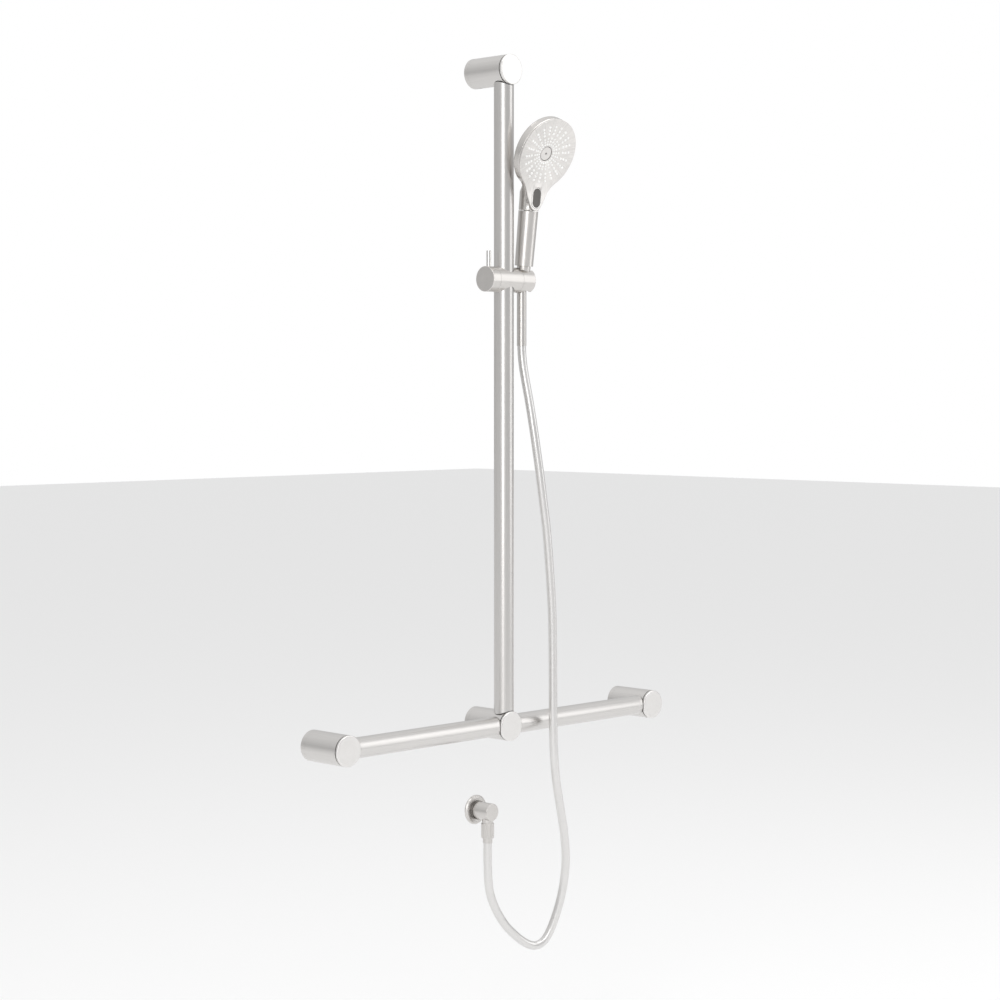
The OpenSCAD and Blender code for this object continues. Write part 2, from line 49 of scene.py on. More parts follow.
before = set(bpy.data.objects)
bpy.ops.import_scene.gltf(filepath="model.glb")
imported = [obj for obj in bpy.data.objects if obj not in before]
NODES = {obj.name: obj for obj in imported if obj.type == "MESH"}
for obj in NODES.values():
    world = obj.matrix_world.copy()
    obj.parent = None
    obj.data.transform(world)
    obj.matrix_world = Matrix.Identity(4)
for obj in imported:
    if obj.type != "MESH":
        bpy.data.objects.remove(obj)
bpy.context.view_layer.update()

# ---- places taken from the frame ----
WALL_UP = Vector((0, 0, 1))
POSTS = ("top", "left", "right", "centre")


def middle(node):
    """The centre of a node's box."""
    low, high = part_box(node)
    return (low + high) / 2


LEAN = math.radians(6.5)
FACE_TURN = math.radians(17.8)
FOOT = Vector((middle("hose_sleeve").x, middle("vertical_rail").y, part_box("holder")[0].z))
HANDLE = Matrix.Translation(FOOT) @ Matrix.Rotation(LEAN, 4, "X")
FACE = HANDLE @ Matrix.Translation((0, -0.0335, 0.223)) @ Matrix.Rotation(math.pi / 2 + FACE_TURN, 4, "X")
TONGUE = HANDLE @ Matrix.Translation((0, -0.0155, 0)) @ Matrix.Rotation(math.pi / 2, 4, "X")
ELBOW_OUTLET = middle("elbow_nut")

# ---- the hose's route, from the elbow's ferrule up into the sleeve ----
HOSE_ROUTE = [
    (0, -0.029, -0.197), (0, -0.029, -0.215), (0.0005, -0.029, -0.24), (0.002, -0.029, -0.262),
    (0.005, -0.0295, -0.281), (0.012, -0.031, -0.301), (0.023, -0.032, -0.32), (0.037, -0.0335, -0.339),
    (0.052, -0.0355, -0.354), (0.068, -0.039, -0.368), (0.084, -0.043, -0.378), (0.098, -0.047, -0.381),
    (0.111, -0.052, -0.374), (0.121, -0.057, -0.356), (0.129, -0.063, -0.329), (0.135, -0.068, -0.3),
    (0.138, -0.072, -0.27), (0.135, -0.078, -0.235), (0.125, -0.084, -0.196), (0.113, -0.089, -0.162),
    (0.101, -0.094, -0.131), (0.091, -0.097, -0.098), (0.084, -0.0995, -0.064), (0.081, -0.1, -0.025),
    (0.08, -0.1, 0.03), (0.0795, -0.1, 0.1), (0.0765, -0.101, 0.18), (0.07, -0.101, 0.255),
    (0.0635, -0.101, 0.312), (0.056, -0.1, 0.362), (0.0495, -0.098, 0.41), (0.0435, -0.0945, 0.458),
    (0.0405, -0.09, 0.494), (0.04, -0.083, 0.527), (0.0405, -0.075, 0.557), (0.041, -0.0685, 0.585),
    (0.041, -0.066, 0.612), (0.041, -0.066, 0.65), (0.041, -0.066, 0.69)]
# name, first and last route point, then the two bodies that it runs between
HOSE_STRETCHES = [
    ("hose_bottom", 0, 11, "wall_set", "wall_set"),
    ("hose_rise", 11, 30, "wall_set", "slider_bush"),
    ("hose_lean", 30, 33, "slider_bush", "slider_body"),
    ("hose_top", 33, 38, "slider_body", "holder")]


# ---- settings ----
class HoseSettings(bpy.types.PropertyGroup):
    diameter: FloatProperty(name="Diameter", description="Outside diameter of the hose", default=0.014,
                            min=0.008, max=0.02, unit="LENGTH")
    sides: IntProperty(name="Sides", description="Faces round the hose", default=28, min=8, max=64)
    steps: IntProperty(name="Steps", description="Rings between two points of the route",
                       default=6, min=2, max=12)
    colour: FloatVectorProperty(name="Colour", description="Silver of the hose's skin", subtype="COLOR",
                                size=3, default=(0.72, 0.71, 0.70), min=0, max=1)


class HeadSettings(bpy.types.PropertyGroup):
    radius: FloatProperty(name="Radius", description="Radius of the head", default=0.059,
                          min=0.04, max=0.08, unit="LENGTH")
    rim: FloatProperty(name="Rim", description="Depth of the head's rim", default=0.016,
                       min=0.01, max=0.025, unit="LENGTH")
    voxel: FloatProperty(name="Blend size", description="Size of the cells that blend the neck into the head",
                         default=0.0011, min=0.0008, max=0.004, unit="LENGTH")
    rays: IntProperty(name="Rays", description="Rows of nozzles round the face", default=22, min=8, max=40)
    nub: FloatProperty(name="Nub", description="Radius of a nozzle's foot", default=0.0021,
                       min=0.0008, max=0.003, unit="LENGTH")
    face_colour: FloatVectorProperty(name="Face", description="Metallised grey of the spray face",
                                     subtype="COLOR", size=3, default=(0.76, 0.74, 0.72), min=0, max=1)
    nub_colour: FloatVectorProperty(name="Nozzles", description="Silicone of the nozzles", subtype="COLOR",
                                    size=3, default=(0.95, 0.95, 0.94), min=0, max=1)


class ButtonSettings(bpy.types.PropertyGroup):
    width: FloatProperty(name="Width", description="Width of the spray button", default=0.0172,
                         min=0.008, max=0.02, unit="LENGTH")
    length: FloatProperty(name="Length", description="Length of the spray button", default=0.0302,
                          min=0.02, max=0.04, unit="LENGTH")
    up: FloatProperty(name="Height", description="Centre of the button along the handle", default=0.1535,
                      min=0.12, max=0.18, unit="LENGTH")
    colour: FloatVectorProperty(name="Colour", description="Grey of the button", subtype="COLOR",
                                size=3, default=(0.105, 0.098, 0.092), min=0, max=1)


class MetalSettings(bpy.types.PropertyGroup):
    steel: FloatVectorProperty(name="Rail", description="Satin stainless steel of the tubes and posts",
                               subtype="COLOR", size=3, default=(0.66, 0.645, 0.63), min=0, max=1)
    cap: FloatVectorProperty(name="Cap", description="Turned steel of the end caps", subtype="COLOR",
                             size=3, default=(0.80, 0.785, 0.77), min=0, max=1)
    nickel: FloatVectorProperty(name="Nickel", description="Brushed nickel of the slider, handset and elbow",
                                subtype="COLOR", size=3, default=(0.65, 0.63, 0.61), min=0, max=1)
    flutes: IntProperty(name="Flutes", description="Grip flutes round the hose nut",
                        default=18, min=6, max=40)


class StageSettings(bpy.types.PropertyGroup):
    lens: FloatProperty(name="Lens", description="Focal length of the camera in millimetres", default=80.57,
                        min=20, max=200)
    floor: FloatProperty(name="Floor", description="Height of the floor under the wall set", default=-0.62,
                         min=-2, max=-0.4, unit="LENGTH")
    paint: FloatVectorProperty(name="Floor paint", description="Pale paint of the floor",
                               subtype="COLOR", size=3, default=(0.92, 0.92, 0.92), min=0, max=1)


# ---- shape helpers ----
def begin():
    """Nothing selected, so that the next operator works on its own mesh alone."""
    if bpy.context.mode != "OBJECT":
        bpy.ops.object.mode_set(mode="OBJECT")
    bpy.ops.object.select_all(action="DESELECT")


def named(name):
    obj = bpy.context.object
    obj.name = obj.data.name = name
    return obj


def only(obj):
    """Makes obj the one selected, active object."""
    begin()
    obj.select_set(True)
    bpy.context.view_layer.objects.active = obj
    return obj


def edit(obj):
    only(obj)
    bpy.ops.object.mode_set(mode="EDIT")
    bpy.ops.mesh.select_all(action="DESELECT")


def apply(obj, kind, **values):
    """Adds a modifier with these values and applies it."""
    only(obj)
    modifier = obj.modifiers.new(kind.title(), kind)
    for key, value in values.items():
        setattr(modifier, key, value)
    bpy.ops.object.modifier_apply(modifier=modifier.name)


def recalculate(obj):
    edit(obj)
    bpy.ops.mesh.select_all(action="SELECT")
    bpy.ops.mesh.remove_doubles(threshold=1e-6)
    bpy.ops.mesh.normals_make_consistent(inside=False)
    bpy.ops.object.mode_set(mode="OBJECT")


def place(obj, matrix=Matrix.Identity(4)):
    """Moves the mesh by matrix and leaves the object at the origin."""
    only(obj)
    obj.data.transform(matrix @ obj.matrix_world)
    obj.matrix_world = Matrix.Identity(4)
    return obj


def smooth(obj, angle=35):
    only(obj)
    bpy.ops.object.shade_smooth_by_angle(angle=math.radians(angle))


def finish(obj, body, slot, material, *nodes, angle=35):
    """Shading, finish, body and the CAD nodes that a piece stands for."""
    smooth(obj, angle)
    obj.data.materials.clear()
    obj.data.materials.append(material)
    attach(obj, body)
    if nodes:
        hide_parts(*nodes)
    return obj


def ring_chain(name, rings, sides=48):
    """A closed body through circles: rings are (centre, radius, lean about X) from one end to the other."""
    begin()
    centre, radius, lean = rings[0]
    bpy.ops.mesh.primitive_circle_add(vertices=sides, radius=radius, fill_type="NGON", location=centre,
                                      rotation=(lean, 0, 0))
    obj = place(named(name))
    edit(obj)
    bpy.ops.mesh.select_all(action="SELECT")
    for (c0, r0, a0), (c1, r1, a1) in zip(rings, rings[1:]):
        bpy.ops.mesh.extrude_region_move(TRANSFORM_OT_translate={"value": Vector(c1) - Vector(c0)})
        bpy.ops.transform.resize(value=(r1 / r0,) * 3, center_override=c1)
        bpy.ops.transform.rotate(value=a1 - a0, orient_axis="X", center_override=c1)
    bpy.ops.object.mode_set(mode="OBJECT")
    recalculate(obj)
    return obj


def turned(name, profile, sides=64):
    """A lathe-turned solid about Z from (radius, height) points, the first and last on the axis."""
    begin()
    bpy.ops.mesh.primitive_plane_add(size=0.001)
    obj = named(name)
    edit(obj)
    bpy.ops.mesh.select_all(action="SELECT")
    bpy.ops.mesh.merge(type="CENTER")
    bpy.ops.object.mode_set(mode="OBJECT")
    obj.data.vertices[0].co = (profile[0][0], 0, profile[0][1])
    edit(obj)
    bpy.ops.mesh.select_mode(type="VERT")
    bpy.ops.mesh.select_all(action="SELECT")
    for (r0, z0), (r1, z1) in zip(profile, profile[1:]):
        bpy.ops.mesh.extrude_region_move(TRANSFORM_OT_translate={"value": (r1 - r0, 0, z1 - z0)})
    bpy.ops.mesh.select_all(action="SELECT")
    bpy.ops.mesh.spin(steps=sides, angle=2 * math.pi, center=(0, 0, 0), axis=(0, 0, 1))
    bpy.ops.object.mode_set(mode="OBJECT")
    recalculate(obj)
    return obj


def rounded(radius, top, edge, steps=5):
    """Profile points of a rounded edge, from the side round to the top."""
    return [(radius - edge + edge * math.cos(a), top - edge + edge * math.sin(a))
            for a in (math.pi / 2 * i / steps for i in range(steps + 1))]


def joined(name, objects):
    begin()
    for o in objects:
        o.select_set(True)
    bpy.context.view_layer.objects.active = objects[0]
    bpy.ops.object.join()
    return named(name)


# ---- material helpers ----
def socket(tree, name, direction, kind, default=None):
    made = tree.interface.new_socket(name=name, in_out=direction, socket_type=kind)
    if default is not None:
        made.default_value = default
    return made


def link(tree, source, target):
    tree.links.new(source, target)


def math_node(tree, operation, *inputs):
    node = tree.nodes.new("ShaderNodeMath")
    node.operation = operation
    for i, value in enumerate(inputs):
        if isinstance(value, (int, float)):
            node.inputs[i].default_value = value
        else:
            link(tree, value, node.inputs[i])
    return node.outputs[0]


def brushed_group():
    """Fine straight brush lines with slow broad variation: a streak mask and a height."""
    tree = bpy.data.node_groups.new("brush_lines", "ShaderNodeTree")
    socket(tree, "Vector", "INPUT", "NodeSocketVector")
    socket(tree, "Contrast", "INPUT", "NodeSocketFloat", 1.0)
    socket(tree, "Streak", "OUTPUT", "NodeSocketFloat")
    socket(tree, "Height", "OUTPUT", "NodeSocketFloat")
    inside, out = tree.nodes.new("NodeGroupInput"), tree.nodes.new("NodeGroupOutput")
    fine, broad = tree.nodes.new("ShaderNodeTexNoise"), tree.nodes.new("ShaderNodeTexNoise")
    fine.inputs["Scale"].default_value = 1.0
    fine.inputs["Detail"].default_value = 4.0
    broad.inputs["Scale"].default_value = 0.07
    broad.inputs["Detail"].default_value = 2.0
    for noise in (fine, broad):
        link(tree, inside.outputs["Vector"], noise.inputs["Vector"])
    both = math_node(tree, "ADD", math_node(tree, "MULTIPLY", fine.outputs["Fac"], 0.65),
                     math_node(tree, "MULTIPLY", broad.outputs["Fac"], 0.35))
    centred = math_node(tree, "MULTIPLY", math_node(tree, "SUBTRACT", both, 0.5), inside.outputs["Contrast"])
    link(tree, math_node(tree, "ADD", centred, 0.5), out.inputs["Streak"])
    link(tree, fine.outputs["Fac"], out.inputs["Height"])
    return tree


def polar_group():
    """Turns a point about Z into its radius and its turn, for lathe lines and sunray lines."""
    tree = bpy.data.node_groups.new("about_centre", "ShaderNodeTree")
    socket(tree, "Vector", "INPUT", "NodeSocketVector")
    socket(tree, "Rings", "INPUT", "NodeSocketFloat", 4000.0)
    socket(tree, "Rays", "INPUT", "NodeSocketFloat", 4.0)
    socket(tree, "Lines", "OUTPUT", "NodeSocketVector")
    socket(tree, "Radius", "OUTPUT", "NodeSocketFloat")
    inside, out = tree.nodes.new("NodeGroupInput"), tree.nodes.new("NodeGroupOutput")
    split, join = tree.nodes.new("ShaderNodeSeparateXYZ"), tree.nodes.new("ShaderNodeCombineXYZ")
    link(tree, inside.outputs["Vector"], split.inputs[0])
    x, y = split.outputs[0], split.outputs[1]
    radius = math_node(tree, "SQRT", math_node(tree, "ADD", math_node(tree, "MULTIPLY", x, x),
                                               math_node(tree, "MULTIPLY", y, y)))
    across = math_node(tree, "DIVIDE", x, math_node(tree, "MAXIMUM", radius, 1e-5))
    along = math_node(tree, "DIVIDE", y, math_node(tree, "MAXIMUM", radius, 1e-5))
    link(tree, math_node(tree, "MULTIPLY", radius, inside.outputs["Rings"]), join.inputs[0])
    link(tree, math_node(tree, "MULTIPLY", across, inside.outputs["Rays"]), join.inputs[1])
    link(tree, math_node(tree, "MULTIPLY", along, inside.outputs["Rays"]), join.inputs[2])
    link(tree, join.outputs[0], out.inputs["Lines"])
    link(tree, radius, out.inputs["Radius"])
    return tree


GROUPS = {}


def group(tree, maker):
    """A node that places the shared group made by maker, built once."""
    if maker.__name__ not in GROUPS:
        GROUPS[maker.__name__] = maker()
    node = tree.nodes.new("ShaderNodeGroup")
    node.node_tree = GROUPS[maker.__name__]
    return node


def blank(name, metallic=0.0, roughness=0.5):
    """A material with its Principled shader, its tree and its Object coordinates."""
    material = bpy.data.materials.new(name)
    material.use_nodes = True
    tree = material.node_tree
    shader = tree.nodes["Principled BSDF"]
    shader.inputs["Metallic"].default_value = metallic
    shader.inputs["Roughness"].default_value = roughness
    place_in = tree.nodes.new("ShaderNodeTexCoord").outputs["Object"]
    return material, tree, shader, place_in


def mapped(tree, source, scale=(1, 1, 1), location=(0, 0, 0), rotation=(0, 0, 0), kind="POINT"):
    node = tree.nodes.new("ShaderNodeMapping")
    node.vector_type = kind
    node.inputs["Location"].default_value = location
    node.inputs["Rotation"].default_value = rotation
    node.inputs["Scale"].default_value = scale
    link(tree, source, node.inputs["Vector"])
    return node.outputs[0]


def ramp(tree, source, low, high, dark, light):
    """A colour that runs from dark to light while source goes from low to high."""
    node = tree.nodes.new("ShaderNodeValToRGB")
    node.color_ramp.elements[0].position = low
    node.color_ramp.elements[1].position = high
    node.color_ramp.elements[0].color = (*dark, 1)
    node.color_ramp.elements[1].color = (*light, 1)
    link(tree, source, node.inputs[0])
    return node.outputs[0]


def shades(colour, spread):
    return [c * (1 - spread) for c in colour], [min(1, c * (1 + spread)) for c in colour]


def spread_of(tree, source, low, high):
    """Maps 0..1 to low..high."""
    node = tree.nodes.new("ShaderNodeMapRange")
    node.inputs["To Min"].default_value = low
    node.inputs["To Max"].default_value = high
    link(tree, source, node.inputs["Value"])
    return node.outputs[0]


def bump(tree, shader, height, strength, distance=0.0002):
    node = tree.nodes.new("ShaderNodeBump")
    node.inputs["Strength"].default_value = strength
    node.inputs["Distance"].default_value = distance
    link(tree, height, node.inputs["Height"])
    link(tree, node.outputs[0], shader.inputs["Normal"])


def brushed_metal(name, colour, scale, rotation=(0, 0, 0), roughness=(0.24, 0.36), spread=0.05, lift=0.12):
    """Satin metal with straight brush lines; scale is lines per metre along each axis."""
    material, tree, shader, at = blank(name, metallic=1.0)
    lines = group(tree, brushed_group)
    link(tree, mapped(tree, at, scale, rotation=rotation), lines.inputs["Vector"])
    tint = ramp(tree, lines.outputs["Streak"], 0.3, 0.7, *shades(colour, spread))
    link(tree, tint, shader.inputs["Base Color"])
    link(tree, spread_of(tree, lines.outputs["Streak"], *roughness), shader.inputs["Roughness"])
    bump(tree, shader, lines.outputs["Height"], lift)
    return material


def turned_metal(name, colour, centre, rotation, roughness=(0.28, 0.4)):
    """Satin metal with lathe lines round a centre, for cap faces."""
    material, tree, shader, at = blank(name, metallic=1.0)
    polar, lines = group(tree, polar_group), group(tree, brushed_group)
    local = mapped(tree, mapped(tree, at, location=[-c for c in centre]), rotation=rotation)
    link(tree, local, polar.inputs["Vector"])
    link(tree, polar.outputs["Lines"], lines.inputs["Vector"])
    tint = ramp(tree, lines.outputs["Streak"], 0.3, 0.7, *shades(colour, 0.03))
    link(tree, tint, shader.inputs["Base Color"])
    link(tree, spread_of(tree, lines.outputs["Streak"], *roughness), shader.inputs["Roughness"])
    bump(tree, shader, lines.outputs["Height"], 0.05)
    return material


def moulded(name, colour, roughness=(0.4, 0.55), grain=1500, lift=0.08, metallic=0.0):
    """Moulded plastic, rubber or cast metal with a fine even grain."""
    material, tree, shader, at = blank(name, metallic=metallic)
    noise = tree.nodes.new("ShaderNodeTexNoise")
    noise.inputs["Scale"].default_value = grain
    noise.inputs["Detail"].default_value = 3
    link(tree, at, noise.inputs["Vector"])
    link(tree, ramp(tree, noise.outputs["Fac"], 0.3, 0.7, *shades(colour, 0.05)), shader.inputs["Base Color"])
    link(tree, spread_of(tree, noise.outputs["Fac"], *roughness), shader.inputs["Roughness"])
    bump(tree, shader, noise.outputs["Fac"], lift)
    return material


def sunray_face(name, colour):
    """Metallised spray face: fine rays from the centre and a slow change of tone round them."""
    material, tree, shader, at = blank(name, metallic=1.0)
    polar, lines = group(tree, polar_group), group(tree, brushed_group)
    inverse = FACE.inverted()
    local = mapped(tree, at, location=inverse.translation, rotation=inverse.to_euler("XYZ"))
    link(tree, local, polar.inputs["Vector"])
    polar.inputs["Rings"].default_value = 60
    polar.inputs["Rays"].default_value = 45
    lines.inputs["Contrast"].default_value = 1.5
    link(tree, polar.outputs["Lines"], lines.inputs["Vector"])
    tint = ramp(tree, lines.outputs["Streak"], 0.25, 0.75, *shades(colour, 0.12))
    link(tree, tint, shader.inputs["Base Color"])
    link(tree, spread_of(tree, lines.outputs["Streak"], 0.3, 0.45), shader.inputs["Roughness"])
    bump(tree, shader, lines.outputs["Height"], 0.15)
    return material


def hose_skin(name, colour):
    """Silver PVC over a wound core: a slight helical ripple along the hose's own UV map."""
    material, tree, shader, _ = blank(name, metallic=0.85)
    uv = tree.nodes.new("ShaderNodeUVMap")
    uv.uv_map = "along"
    wave = tree.nodes.new("ShaderNodeTexWave")
    wave.wave_type = "BANDS"
    wave.bands_direction = "Y"
    wave.inputs["Scale"].default_value = 60
    wave.inputs["Distortion"].default_value = 0.4
    link(tree, mapped(tree, uv.outputs[0], rotation=(0, 0, 0.004)), wave.inputs["Vector"])
    noise = tree.nodes.new("ShaderNodeTexNoise")
    noise.inputs["Scale"].default_value = 30
    link(tree, mapped(tree, uv.outputs[0], scale=(40, 1, 1)), noise.inputs["Vector"])
    link(tree, ramp(tree, noise.outputs["Fac"], 0.3, 0.7, *shades(colour, 0.04)), shader.inputs["Base Color"])
    link(tree, spread_of(tree, noise.outputs["Fac"], 0.22, 0.34), shader.inputs["Roughness"])
    bump(tree, shader, wave.outputs["Fac"], 0.05, 0.0001)
    return material


# ---- pieces ----
class SHOWER_OT_stage(bpy.types.Operator):
    """Camera, pale floor and soft studio lights"""
    bl_idname = "shower.stage"
    bl_label = "Stage"

    def execute(self, context):
        settings = context.scene.shower_stage
        target = Vector((-0.0089, -0.066, 0.3648))
        azimuth, elevation, distance = math.radians(-45.6), math.radians(2.9), 3.5937
        back = Vector((math.sin(azimuth) * math.cos(elevation), -math.cos(azimuth) * math.cos(elevation),
                       math.sin(elevation)))
        begin()
        bpy.ops.object.camera_add(location=target + back * distance)
        camera = named("camera")
        camera.data.lens = settings.lens
        camera.data.sensor_width = 36
        camera.data.clip_end = 50
        camera.rotation_mode = "QUATERNION"
        camera.rotation_quaternion = (-back).to_track_quat("-Z", "Y")
        context.scene.camera = camera
        self.floor(settings)
        self.lights(target)
        self.world(context.scene)
        context.scene.view_settings.view_transform = "Standard"
        return {"FINISHED"}

    def floor(self, settings):
        begin()
        bpy.ops.mesh.primitive_plane_add(size=40, location=(0, 0, settings.floor))
        floor = place(named("floor"))
        edit(floor)
        bpy.ops.mesh.select_all(action="SELECT")
        bpy.ops.mesh.subdivide(number_cuts=4)
        bpy.ops.object.mode_set(mode="OBJECT")
        material, tree, shader, _ = blank("floor_paint", roughness=0.9)
        shader.inputs["Base Color"].default_value = (*settings.paint, 1)
        clear, under = tree.nodes.new("ShaderNodeBsdfTransparent"), tree.nodes.new("ShaderNodeMixShader")
        link(tree, tree.nodes.new("ShaderNodeNewGeometry").outputs["Backfacing"], under.inputs[0])
        link(tree, shader.outputs[0], under.inputs[1])
        link(tree, clear.outputs[0], under.inputs[2])
        link(tree, under.outputs[0], tree.nodes["Material Output"].inputs["Surface"])
        floor.data.materials.append(material)

    def lights(self, target):
        """Three large soft panels: (name, place from the target, width, height, watts)."""
        panels = [("left_panel", (-3.0, -2.0, 1.0), 1.5, 3.0, 30),
                  ("right_panel", (2.5, -2.5, 1.0), 1.5, 3.0, 15),
                  ("top_panel", (0.0, -1.0, 3.0), 3.0, 1.5, 30)]
        for name, offset, width, height, watts in panels:
            begin()
            bpy.ops.object.light_add(type="AREA", location=target + Vector(offset))
            panel = named(name)
            panel.data.shape = "RECTANGLE"
            panel.data.size, panel.data.size_y = width, height
            panel.data.energy = watts
            panel.rotation_mode = "QUATERNION"
            panel.rotation_quaternion = Vector(offset).to_track_quat("Z", "Y")

    def world(self, scene):
        """A plain pale room, a little darker low down, before a white backdrop."""
        world = bpy.data.worlds.new("studio")
        world.use_nodes = True
        tree = world.node_tree
        room, output = tree.nodes["Background"], tree.nodes["World Output"]
        backdrop, mix = tree.nodes.new("ShaderNodeBackground"), tree.nodes.new("ShaderNodeMixShader")
        backdrop.inputs[0].default_value = (1, 1, 1, 1)
        split = tree.nodes.new("ShaderNodeSeparateXYZ")
        link(tree, tree.nodes.new("ShaderNodeTexCoord").outputs["Generated"], split.inputs[0])
        height = math_node(tree, "MULTIPLY_ADD", split.outputs[2], 0.5, 0.5)
        link(tree, ramp(tree, height, 0.0, 1.0, (0.1, 0.1, 0.1), (1.0, 1.0, 1.0)), room.inputs[0])
        link(tree, tree.nodes.new("ShaderNodeLightPath").outputs["Is Camera Ray"], mix.inputs[0])
        link(tree, room.outputs[0], mix.inputs[1])
        link(tree, backdrop.outputs[0], mix.inputs[2])
        link(tree, mix.outputs[0], output.inputs["Surface"])
        scene.world = world


def curve_point(route, i, t):
    """A point on the smooth curve through the route, a share t of the way from point i to the next."""
    a, b, c, d = (Vector(route[min(max(k, 0), len(route) - 1)]) for k in (i - 1, i, i + 1, i + 2))
    straight = 2 * b + (c - a) * t
    return 0.5 * (straight + (2 * a - 5 * b + 4 * c - d) * t ** 2 + (3 * b - a - 3 * c + d) * t ** 3)


class SHOWER_OT_hose(bpy.types.Operator):
    """The hose, in the four stretches that follow the wall, the slider, its swivel and its holder"""
    bl_idname = "shower.hose"
    bl_label = "Hose"

    def execute(self, context):
        settings = context.scene.shower_hose
        steps = settings.steps
        line = [curve_point(HOSE_ROUTE, i, k / steps)
                for i in range(len(HOSE_ROUTE) - 1) for k in range(steps)]
        line.append(Vector(HOSE_ROUTE[-1]))
        skin = hose_skin("silver_hose_skin", settings.colour)
        for name, first, last, low_body, high_body in HOSE_STRETCHES:
            path = line[first * steps:last * steps + 1]
            heads = [line[min(k + 1, len(line) - 1)] - line[max(k - 1, 0)]
                     for k in range(first * steps, last * steps + 1)]
            hose = self.tube(name, path, heads, settings)
            smooth(hose, 40)
            hose.data.materials.append(skin)
            if low_body == high_body:
                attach(hose, low_body)
            else:
                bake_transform(hose)
            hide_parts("hose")
        return {"FINISHED"}

    def tube(self, name, path, heads, settings):
        side, sides, radius = Vector((0.45, 0.89, 0)), settings.sides, settings.diameter / 2
        vertices = []
        for point, head in zip(path, heads):
            u = head.cross(side).normalized()
            v = u.cross(head).normalized()
            vertices += [point + radius * (math.cos(a) * u + math.sin(a) * v)
                         for a in (2 * math.pi * j / sides for j in range(sides))]
        faces = [[k * sides + j, (k + 1) * sides + j,
                  (k + 1) * sides + (j + 1) % sides, k * sides + (j + 1) % sides]
                 for k in range(len(path) - 1) for j in range(sides)]
        faces.append(list(range(sides)))
        faces.append([(len(path) - 1) * sides + j for j in reversed(range(sides))])
        mesh = bpy.data.meshes.new(name)
        mesh.from_pydata(vertices, [], faces)
        hose = bpy.data.objects.new(name, mesh)
        bpy.context.scene.collection.objects.link(hose)
        travelled = [0.0]
        for a, b in zip(path, path[1:]):
            travelled.append(travelled[-1] + (b - a).length)
        uv = mesh.uv_layers.new(name="along")
        for face in mesh.polygons:
            for loop in face.loop_indices:
                ring, j = divmod(mesh.loops[loop].vertex_index, sides)
                last_side = face.index < len(faces) - 2 and face.index % sides == sides - 1
                turn = sides if last_side and j == 0 else j
                uv.data[loop].uv = (turn / sides, travelled[ring])
        recalculate(hose)
        return hose


BEND = -0.0180 / math.sin(FACE_TURN)  # where the face turns to run down the handle, below its centre
# half the teardrop's tail: (degrees round from the tip, distance from the face's centre)
TAIL = [(0, 0.0930), (2, 0.0926), (4.5, 0.0912), (8.2, 0.0862), (13, 0.0772), (19.4, 0.0682), (25, 0.0632),
        (31, 0.0602), (38, 0.0590)]


def outline(angle, radius):
    """Distance from the face's centre to the teardrop's edge, towards angle."""
    down = math.degrees(abs((angle + math.pi / 2 + math.pi) % (2 * math.pi) - math.pi))
    reach = 0
    for step in (-2, -1, 0, 1, 2):
        near = abs(down + step)
        share = radius
        for (a, low), (b, high) in zip(TAIL, TAIL[1:]):
            if a <= near <= b:
                share = low + (high - low) * (near - a) / (b - a)
        reach += share / 5
    return reach


def dish(distance):
    """How far the spray face sinks behind its plane at a distance from its centre."""
    share = max(0, 1 - distance / 0.0538)
    return 0.0008 * min(1, max(0, (0.0575 - distance) / 0.004)) + 0.005 * share


def bend_tail(obj, matrix):
    """Curves the part of a face-shaped mesh below the bend until it lies along the handle, then places it."""
    curve = 0.024 / FACE_TURN
    start = BEND + curve * math.tan(FACE_TURN / 2)
    for v in obj.data.vertices:
        below = start - v.co.y
        if below > 0:
            turn = min(FACE_TURN, below / curve)
            rest = max(0, below - curve * FACE_TURN)
            v.co = (v.co.x, start - curve * math.sin(turn) - rest * math.cos(turn) + v.co.z * math.sin(turn),
                    curve * (1 - math.cos(turn)) + rest * math.sin(turn) + v.co.z * math.cos(turn))
    return place(obj, matrix)


